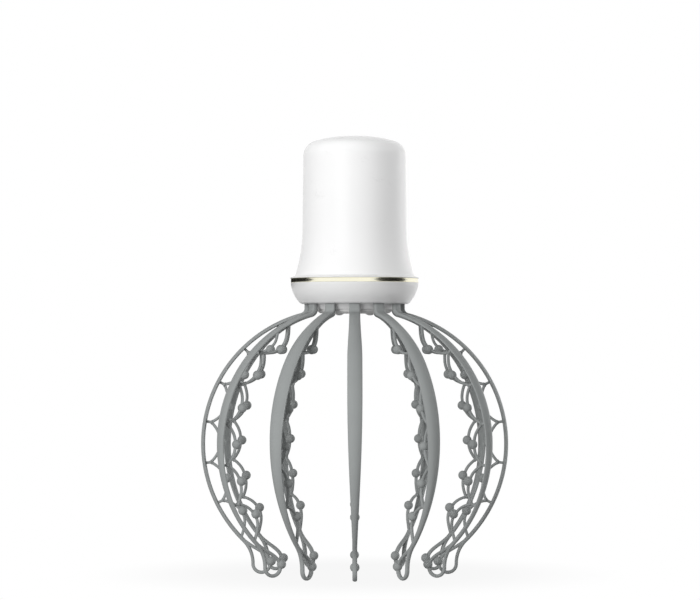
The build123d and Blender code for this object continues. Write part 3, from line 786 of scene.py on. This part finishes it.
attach(pad, "housing")
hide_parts("crown_pad")

# -------------------------------------------------------------------------- base bowl
# Lower housing, injection moulded in white ABS: a shallow bowl whose flat foot has a slot
# for each claw, a hub under it for the pad, and a rim that the shell clicks over.
bowl_low, bowl_high = (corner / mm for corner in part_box("base_bowl"))
ring_low, ring_high = (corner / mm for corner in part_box("trim_ring"))
bowl_radius = ring_high.x
seam_z = ring_low.z
seam_round = 0.15
rim_inset = 4.2
foot_z = pad_high.z
foot_radius = 30.4
foot_round = 2.8
floor_radius = foot_radius - 0.5
floor_thickness = 2.4
land_z = foot_z + floor_thickness
bulge = 1.0
bulge_foot_z = foot_z + 0.4
bowl_edge = 0.8
pad_gap = 0.06
skirt_radius = 24.5
skirt_z = bowl_low.z + 0.35
skirt_foot = 22.0
skirt_round = 0.5
rim_radius = bowl_radius - rim_inset
rim_wall = 1.8
rim_round = 0.3
slot_length = 3.85
slot_width = 6.4
slot_ring = 26.825
slot_corner = 0.5
slot_above = 6.0
slot_below = 2.0
slot_corner_steps = 5
mouth_inner = skirt_radius + 0.1
mouth_round = 0.25
edge_turn = radians(60)  # a corner of the solid turns more than this

# A darker white than the shell's same ABS: painted shade for the dimmer light that reaches the lower
# housing.
bowl_white_painted_shade = moulded(
    "bowl_white_painted_shade", (0.69, 0.69, 0.69), 0.34, grain=1600, depth=0.000004, mottle=0.006,
)


def bulged(first, last, sagitta, steps=16):
    """Points of a shallow arc between two points, bulging to the right of its travel."""
    chord = last - first
    radius = (chord.length_squared / 4 + sagitta ** 2) / (2 * sagitta)
    across = Vector((chord.y, -chord.x)).normalized()
    centre = (first + last) / 2 - across * (radius - sagitta)
    half = asin(chord.length / 2 / radius)
    begin = atan2(across.y, across.x) - half
    return [centre + radius * heading(begin + 2 * half * k / steps) for k in range(steps + 1)]


side = bulged(Vector((foot_radius, bulge_foot_z)), Vector((bowl_radius, seam_z - bowl_edge)), bulge)
outline = [Vector((0, bowl_low.z)), Vector((pad_inner, bowl_low.z))]
outline += rounded(
    [
        (pad_inner, foot_z, 0),
        (pad_radius + pad_gap, foot_z, 0),
        (pad_radius + pad_gap, skirt_z, 0),
        (skirt_foot, skirt_z, skirt_round),
        (skirt_radius, foot_z, 0),
    ]
)
outline += rounded([(skirt_radius, foot_z, 0), (foot_radius, foot_z, foot_round), (*side[2], 0)])[1:-1]
outline += side[2:]
outline += rounded(
    [
        (bowl_radius, seam_z - bowl_edge, 0),
        (bowl_radius, seam_z, seam_round),
        (rim_radius, seam_z, 0),
        (rim_radius, bowl_high.z, rim_round),
        (rim_radius - rim_wall, bowl_high.z, rim_round),
        (rim_radius - rim_wall, seam_z, 0),
        (floor_radius, land_z, 0),
        (0, land_z, 0),
    ]
)[1:]
shape = bmesh.new()
revolve(shape, outline)
bmesh.ops.recalc_face_normals(shape, faces=shape.faces)
blank = put("bowl_blank", as_mesh("bowl_blank", shape))

# The slots: a prism with round corners for each claw, cut out of the blank.
slot_sizes = {
    "Count": claw_count,
    "Ring": slot_ring,
    "Length": slot_length,
    "Width": slot_width,
    "Corner": slot_corner,
    "Height": foot_z,
    "Above": slot_above,
    "Below": slot_below,
    "Material": bowl_white_painted_shade,
}
size = open_tree("slots", slot_sizes)
entry = size["Geometry"]
quad = entry.node(
    "GeometryNodeCurvePrimitiveQuadrilateral", {"Width": size["Length"], "Height": size["Width"]},
    mode="RECTANGLE",
)
quad = entry.node(
    "GeometryNodeFilletCurve", {"Curve": quad, "Radius": size["Corner"], "Count": slot_corner_steps},
    mode="POLY",
)
flat = entry.node("GeometryNodeFillCurve", {"Curve": quad})
rise = entry.node("ShaderNodeCombineXYZ", {"Z": size["Above"] + size["Below"]})
prism = entry.node("GeometryNodeExtrudeMesh", {"Mesh": flat, "Offset": rise, "Individual": False})
base = entry.node("GeometryNodeFlipFaces", {"Mesh": flat})
prism = entry.node("GeometryNodeMergeByDistance", {"Geometry": joined(prism, base), "Distance": 0.001})
circle = entry.node("GeometryNodeMeshCircle", {"Vertices": size["Count"], "Radius": size["Ring"]})
index = entry.node("GeometryNodeInputIndex")
spin = entry.node("ShaderNodeCombineXYZ", {"Z": index * (2 * pi) / size["Count"]})
cutters = entry.node(
    "GeometryNodeInstanceOnPoints", {"Points": circle, "Instance": prism, "Rotation": spin}
)
lift = entry.node("ShaderNodeCombineXYZ", {"Z": size["Height"] - size["Below"]})
cutters = entry.node("GeometryNodeTransform", {"Geometry": cutters, "Translation": lift})
cutters = entry.node("GeometryNodeRealizeInstances", {"Geometry": cutters})
cut = entry.node("GeometryNodeMeshBoolean", {0: entry, 1: cutters}, operation="DIFFERENCE", solver="EXACT")
close_tree(cut, size["Material"])
mesh = grown(blank, size["Geometry"].tree, slot_sizes)
bpy.data.objects.remove(blank)


def soften(shape, chosen, offset, segments):
    """Round the corners whose middle is chosen, where the solid turns sharply."""
    picked = []
    for edge in shape.edges:
        spot = (edge.verts[0].co + edge.verts[1].co) / 2
        if chosen(spot, edge) and edge.is_manifold and edge.calc_face_angle(0) > edge_turn:
            picked.append(edge)
    bmesh.ops.bevel(shape, geom=picked, offset=offset, segments=segments, affect="EDGES", profile=0.5)


def slot_mouth(spot, edge):
    """True for an edge of a slot in the bowl's flat foot."""
    level = all(abs(vert.co.z - foot_z) < 1e-3 for vert in edge.verts)
    return level and mouth_inner < hypot(spot.x, spot.y) < floor_radius


shape = bmesh.new()
shape.from_mesh(mesh)
soften(shape, slot_mouth, mouth_round, 2)
bowl = finished("base_bowl_moulding", shape, bowl_white_painted_shade)
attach(bowl, "housing")
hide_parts("base_bowl")

# -------------------------------------------------------------------------- trim ring
# A turned brass ring plated in pale gold and polished, so that only fine turning marks are
# left. Its corners are broken, and it is clamped between bowl and shell.
shell_z = ring_high.z
ring_edge = 0.25
ring_bore = rim_radius + 0.05

gold, shader, place = new_finish("trim_gold")
lines = noise(stretched(place, (60, 60, 9000)), 1.0, 2.0)
haze = noise(place, 40.0, 3.0)
fill(
    shader,
    Metallic=1.0,
    Base_Color=tinted(haze, (0.97, 0.93, 0.72), (0.99, 0.96, 0.80)),
    Roughness=0.19 + haze * 0.04 + lines * 0.04,
    Normal=relief(lines, 0.4, 0.000002),
)

outline = rounded(
    [
        (ring_bore, seam_z, 0),
        (bowl_radius, seam_z, ring_edge),
        (bowl_radius, shell_z, ring_edge),
        (ring_bore, shell_z, 0),
    ],
    steps=4,
)
shape = bmesh.new()
revolve(shape, outline, segments=192)
ring = finished("trim_ring_polished", shape, gold, crease=50)
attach(ring, "housing")
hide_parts("trim_ring")

# ------------------------------------------------------------------------ upper shell
# The bell, one white satin moulding: straight sides that flare to a thin lip over the
# ring, a domed top with a bore for the button, and a window for the charging port.
shell_height = 79.8
apex_z = shell_z + shell_height
lip_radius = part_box("upper_shell")[1].x / mm
lip_inner = lip_radius - 2.2
lip_rise = 1.3
lip_thickness = 0.35
lip_edge = 0.2
lip_fillet = 1.6
flare_foot = lip_radius - 2.8
flare_z = shell_z + 28.6
flare_steps = 24
waist_radius = 29.2
shoulder_radius = 28.7
shoulder_round = 8.5
shoulder_steps = 20
dome_rise = 4.5
dome_rings = (18, 16.5, 15, 13.5, 12)
shell_wall = 2.0
roof_thickness = 3.4
roof_z = apex_z - roof_thickness
inner_bevel = 8.0
inner_foot = (28.65, shell_z + 12.0, 0)
rim_seat = (rim_radius + 0.2, shell_z + 2.0, 0)
collar_bore = 10.25
collar_wall = 2.3
collar_edge = 0.4
collar_depth = 4.4
collar_z = apex_z - collar_depth
port_low, port_high = (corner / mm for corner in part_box("usb_port"))
port_z = (port_low.z + port_high.z) / 2
window_width = 9.64
window_height = 3.96
window_edge = 0.35
window_depths = (20.0, 40.0)
window_face_y = waist_radius - 1.0
window_steps = 12
window_margin = 4.0  # rings above and below the window keep the wall's shading even

white = moulded(
    "housing_white", (0.80, 0.80, 0.80), 0.30, grain=1600, depth=0.000004, mottle=0.006,
    Coat_Weight=0.5, Coat_Roughness=0.15,
)
flare_drop = flare_z - shell_z - lip_rise
flare_out = flare_foot - waist_radius
flare_radius = (flare_out ** 2 + flare_drop ** 2) / (2 * flare_out)
flare_turn = asin(flare_drop / flare_radius)
flare_centre = Vector((waist_radius + flare_radius, flare_z))
flare = [
    flare_centre - flare_radius * heading(flare_turn * k / flare_steps)
    for k in range(flare_steps, -1, -1)
]
dome_radius = (shoulder_radius ** 2 + dome_rise ** 2) / (2 * dome_rise)


def dome(radius):
    """Height of the dome's top face at a radius."""
    return apex_z - dome_radius + sqrt(dome_radius ** 2 - radius ** 2)


lip = rounded(
    [
        (lip_inner, shell_z, 0),
        (lip_radius, shell_z, lip_edge),
        (lip_radius, shell_z + lip_thickness, lip_edge),
        (*flare[0], lip_fillet),
        (*flare[2], 0),
    ],
    steps=5,
)[:-1]
wall_top = Vector((shoulder_radius, apex_z - dome_rise))
wall_rings = [
    flare[-1].lerp(wall_top, (z - flare_z) / (wall_top.y - flare_z))
    for z in (port_z - window_margin, port_z + window_margin)
]
shoulder = rounded(
    [
        (*flare[-1], 0),
        (*wall_top, shoulder_round),
        (dome_rings[0], dome(dome_rings[0]), 0),
    ],
    steps=shoulder_steps,
)[1:-1]
top = [Vector((radius, dome(radius))) for radius in dome_rings]
inside = rounded(
    [
        (dome_rings[-1], dome(dome_rings[-1]), 0),
        (collar_bore, dome(collar_bore), collar_edge),
        (collar_bore, collar_z, 0),
        (collar_bore + collar_wall, collar_z, 0),
        (collar_bore + collar_wall, roof_z, 0),
        (shoulder_radius - shell_wall, roof_z, inner_bevel),
        (waist_radius - shell_wall, flare_z, 0),
        inner_foot,
        rim_seat,
        (lip_inner, shell_z, 0),
    ]
)[1:-1]
shape = bmesh.new()
revolve(shape, lip + flare[2:] + wall_rings + shoulder + top + inside)
bmesh.ops.recalc_face_normals(shape, faces=shape.faces)

# The window: a slot with half-round ends, cut through the wall at the back.
end = Vector(((window_width - window_height) / 2, 0))
turns = [heading(radians(180 * k / window_steps - 90)) for k in range(window_steps + 1)]
turns = [turn * window_height / 2 for turn in turns]
outline = [end + turn for turn in turns] + [-end - turn for turn in turns]
cutter = bmesh.new()
near_end, far_end = (
    [cutter.verts.new((p.x, depth, port_z + p.y)) for p in outline] for depth in window_depths
)
cutter.faces.new(near_end)
cutter.faces.new(far_end)
for k in range(len(near_end)):
    n = (k + 1) % len(near_end)
    cutter.faces.new((near_end[k], near_end[n], far_end[n], far_end[k]))
bmesh.ops.recalc_face_normals(cutter, faces=cutter.faces)


def cut_away(shape, cutter):
    """Cut one shape with another and give the result as a new shape."""
    blank, tool = put("blank", as_mesh("blank", shape)), put("tool", as_mesh("tool", cutter))
    modifier = blank.modifiers.new("cut", "BOOLEAN")
    modifier.operation = "DIFFERENCE"
    modifier.solver = "EXACT"
    modifier.object = tool
    cut = blank.evaluated_get(bpy.context.evaluated_depsgraph_get())
    result = bmesh.new()
    result.from_mesh(bpy.data.meshes.new_from_object(cut))
    for spare in (blank, tool):
        bpy.data.objects.remove(spare)
    return result


def window_mouth(spot, edge):
    """True for an edge of the window in the wall's outer face."""
    level = abs(spot.x) < window_width and abs(spot.z - port_z) < window_height
    return level and spot.y > window_face_y


shape = cut_away(shape, cutter)
soften(shape, window_mouth, window_edge, 3)
shell = finished("upper_shell_moulding", shape, white)
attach(shell, "housing")
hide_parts("upper_shell")

# ----------------------------------------------------------------------- power button
# A round push button in the top of the dome, moulded in white and dished for a fingertip.
# It slides in the shell's collar, and its post stands over the switch.
button_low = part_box("power_button")[0].z / mm
button_radius = 10.0
button_recess = 0.65
button_top = apex_z - button_recess
button_round = 0.7
button_wall = 1.4
cap_thickness = 2.0
cap_z = button_top - cap_thickness
dish_radius = 8.7
dish_depth = 0.35
dish_steps = 10
flange_radius = 11.9
flange_gap = 0.65
flange_thickness = 1.3
flange_top = collar_z - flange_gap
flange_low = flange_top - flange_thickness
post_radius = 2.2
lens_place = Vector((0, -6.5, 0))
lens_radius = 1.0
lens_gap = 0.03
lens_hole_depth = 6

button_white = moulded(
    "button_white", (0.77, 0.77, 0.765), 0.36, grain=1600, depth=0.000004, mottle=0.008
)
dish = []
for k in range(dish_steps + 1):
    share = k / dish_steps
    dish.append(Vector((dish_radius * share, button_top - dish_depth * (1 - ease(share)))))
sides = rounded(
    [
        (dish_radius, button_top, 0),
        (button_radius, button_top, button_round),
        (button_radius, flange_top, 0),
        (flange_radius, flange_top, 0),
        (flange_radius, flange_low, 0),
        (button_radius - button_wall, flange_low, 0),
        (button_radius - button_wall, cap_z, 0),
        (post_radius, cap_z, 0),
        (post_radius, button_low, 0),
        (0, button_low, 0),
    ]
)[1:]
shape = bmesh.new()
revolve(shape, dish + sides, segments=96)
bore = bmesh.new()
bmesh.ops.create_cone(
    bore, cap_ends=True, segments=24, radius1=lens_radius + lens_gap, radius2=lens_radius + lens_gap,
    depth=lens_hole_depth, matrix=Matrix.Translation(lens_place + Vector((0, 0, button_top))),
)
bmesh.ops.recalc_face_normals(shape, faces=shape.faces)
bmesh.ops.recalc_face_normals(bore, faces=bore.faces)
button = finished("power_button_cap", cut_away(shape, bore), button_white)
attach(button, "button")
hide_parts("power_button")

# --------------------------------------------------------------------- indicator lens
# A small light guide in smoky clear acrylic, turned with a slightly domed tip. It is pressed
# into the button's cap and shows the status lamp on the board.
lens_low, lens_top = (corner.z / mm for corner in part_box("indicator_lens"))
lens_dome = 0.25
lens_steps = 10
lens_ior = 1.49

lens_clear, shader, place = new_finish("lens")
milk = noise(place, 900.0, 2.0)
glass = tinted(milk, (0.30, 0.34, 0.36), (0.42, 0.46, 0.48))
fill(shader, IOR=lens_ior, Base_Color=glass, Roughness=0.12 + milk * 0.1)
tip = []
for k in range(lens_steps + 1):
    turn = radians(90 * k / lens_steps)
    tip.append(Vector((lens_radius * sin(turn), lens_top - lens_dome * (1 - cos(turn)))))
shape = bmesh.new()
revolve(shape, tip + [Vector((lens_radius, lens_low)), Vector((0, lens_low))], segments=32)
bmesh.ops.translate(shape, vec=lens_place, verts=shape.verts)
lens = finished("indicator_lens_guide", shape, lens_clear)
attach(lens, "button")
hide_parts("indicator_lens")

# ------------------------------------------------------------------------ button seal
# A thin silicone ring on the button's flange, which keeps water out of the collar.
# The motor sleeve, a cup that holds the can and damps its hum, is moulded from the same.
rubber = moulded("rubber_grey", (0.17, 0.17, 0.17), 0.72, grain=2200, depth=0.000006, mottle=0.05)


def dressed(material, *names):
    """Give kept nodes their material. Their meshes and places stay as they are."""
    for name in names:
        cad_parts[name].material_slots[0].material = material


dressed(rubber, "button_seal", "motor_sleeve")

# ----------------------------------------------------------- switch under the button
# A 6 mm tact switch soldered to the board: a black nylon body, and the plunger that the
# button's post presses.
switch_black = moulded("switch_black", (0.03, 0.03, 0.03), 0.55, grain=1800, depth=0.000004, mottle=0.1)
dressed(switch_black, "tact_switch", "switch_plunger")

# ---------------------------------------------------------------------- control board
# A round fibreglass board under green solder mask, with traces that show through it as
# lighter lines and a gold pad here and there. Three screws hold it under the shell's posts.
board_green, shader, place = new_finish("board_green")
weave = noise(place, 3000.0, 1.0)
cells = place.node(
    "ShaderNodeTexVoronoi", {"Vector": place, "Scale": 420.0, "Randomness": 0.35}, out="Distance",
    distance="CHEBYCHEV",
)
pads = place.node(
    "ShaderNodeTexVoronoi", {"Vector": place, "Scale": 260.0, "Randomness": 1.0}, out="Distance"
)
trace = 1 - cells.smooth(0.08, 0.14)
pad_mask = 1 - pads.smooth(0.10, 0.13)
solder_mask = tinted(trace * 0.7, (0.012, 0.085, 0.035), (0.03, 0.17, 0.07))
fill(
    shader,
    Base_Color=tinted(pad_mask, solder_mask, (0.75, 0.56, 0.26)),
    Metallic=pad_mask * 0.9,
    Roughness=0.32 + weave * 0.12,
    Normal=relief(trace + weave * 0.2, 0.5, 0.00001),
)
dressed(board_green, "control_board")

# ------------------------------------------------------------------------ board parts
# Charger and driver chips and the status lamp, soldered under and over the board. They are
# moulded in black epoxy with a fine grain.
chip_black = moulded("chip_black", (0.022, 0.022, 0.024), 0.5, grain=2600, depth=0.000005, mottle=0.15)
dressed(chip_black, "board_parts")

# ---------------------------------------------------------------------- charging port
# A small reversible receptacle: a drawn stainless shell round a black tongue, which carries a
# row of gold contacts above and below. It hangs under the board, behind the shell's window.
tongue_half_width = 3.32
tongue_half_height = 0.4
contact_rise = 0.35
contact_half_height = 0.09
contact_pitch = 0.5
contact_gap = 0.45  # share of the pitch
contact_row = 2.9
port_x = (port_low.x + port_high.x) / 2

port_steel, shader, place = new_finish("port_steel")
x = place.node("ShaderNodeSeparateXYZ", {0: place}, out="X") * (1 / mm) - port_x
z = place.node("ShaderNodeSeparateXYZ", {0: place}, out="Z") * (1 / mm) - port_z
tongue = (abs(x) < tongue_half_width) * (abs(z) < tongue_half_height)
pitch = x.math("FRACT", x * (1 / contact_pitch))
level = abs(abs(z) - contact_rise) < contact_half_height
contact = tongue * level * (pitch > contact_gap) * (abs(x) < contact_row)
grain = noise(stretched(place, (9000, 200, 9000)), 1.0, 3.0)
steel = tinted(grain, (0.50, 0.50, 0.52), (0.64, 0.64, 0.66))
inner = tinted(tongue, steel, (0.02, 0.02, 0.02))
fill(
    shader,
    Base_Color=tinted(contact, inner, (0.86, 0.65, 0.30)),
    Metallic=1 - tongue * (1 - contact),
    Roughness=0.28 + grain * 0.14 + tongue * 0.1,
)
dressed(port_steel, "usb_port")

# ----------------------------------------------------------------------------- screws
# Self-tapping screws in nickel-plated steel: three in the board, four in the retainer,
# three in the chassis and two in the motor's clamp.


def metal_finish(name, dark, light, roughness, stretch, depth=0.0000015):
    """A worked metal: fine tool marks that run the way the stretch gives, and faint stains."""
    material, shader, place = new_finish(name)
    marks = noise(stretched(place, stretch), 1.0, 3.0)
    stains = noise(place, 220.0, 4.0)
    fill(
        shader,
        Metallic=1.0,
        Base_Color=tinted(stains * 0.6 + marks * 0.4, dark, light),
        Roughness=roughness + (marks - 0.5) * 0.16 + (stains - 0.5) * 0.1,
        Normal=relief(marks, 0.6, depth),
    )
    return material


screw_steel = metal_finish("screw_steel", (0.50, 0.49, 0.47), (0.62, 0.61, 0.58), 0.3, (2500, 2500, 2500))
dressed(screw_steel, "board_screws", "retainer_screws", "chassis_screws", "clamp_screws")

# ------------------------------------------------------------------------ inner frame
# The plate that traps the claws' cross bars, the chassis with its motor cup and battery
# tray, and the motor's clamp: glass-filled nylon, pale grey and dull.
inner_plastic = moulded("inner_plastic", (0.50, 0.50, 0.49), 0.58, grain=1300, depth=0.000012, mottle=0.07)
dressed(inner_plastic, "claw_retainer", "chassis", "motor_clamp")

# ------------------------------------------------------------------------------ motor
# A drawn steel can with a black nylon end cap and a ground shaft, whose lower end carries
# a half-round eccentric weight of sintered tungsten alloy.
motor_steel = metal_finish("motor_steel", (0.46, 0.46, 0.48), (0.58, 0.58, 0.60), 0.32, (60, 60, 5000))
cap_black = moulded("cap_black", (0.035, 0.035, 0.035), 0.5, grain=1600, depth=0.000006, mottle=0.08)
weight_steel = metal_finish(
    "weight_steel", (0.10, 0.10, 0.11), (0.16, 0.16, 0.17), 0.48, (1500, 1500, 1500), 0.000004
)
dressed(motor_steel, "motor_can", "motor_shaft")
dressed(cap_black, "motor_end_cap")
dressed(weight_steel, "eccentric_weight")

# ---------------------------------------------------------------------------- battery
# A flat lithium cell in creased aluminium laminate, which lies on a strip of black foam
# in the chassis tray.
battery_foil, shader, place = new_finish("battery_foil")
creases = noise(place, 160.0, 3.0, distortion=1.2)
fine = noise(place, 1200.0, 2.0)
fill(
    shader,
    Metallic=0.9,
    Base_Color=tinted(creases, (0.60, 0.61, 0.63), (0.72, 0.73, 0.75)),
    Roughness=0.3 + (creases - 0.5) * 0.2 + fine * 0.08,
    Normal=relief(creases + fine * 0.1, 0.6, 0.00012),
)
dressed(battery_foil, "battery_cell")

foam_black = moulded("foam_black", (0.03, 0.03, 0.03), 0.92, grain=2400, depth=0.00008, mottle=0.25)
dressed(foam_black, "battery_pad")

# ------------------------------------------------------------------------------ leads
# Two pairs of thin leads in black silicone, soldered to the board. They run down inside
# the shell to the motor and to the cell.
wire_black = moulded("wire_black", (0.028, 0.028, 0.028), 0.45, grain=1500, depth=0.000003, mottle=0.08)
dressed(wire_black, "motor_leads", "battery_leads")
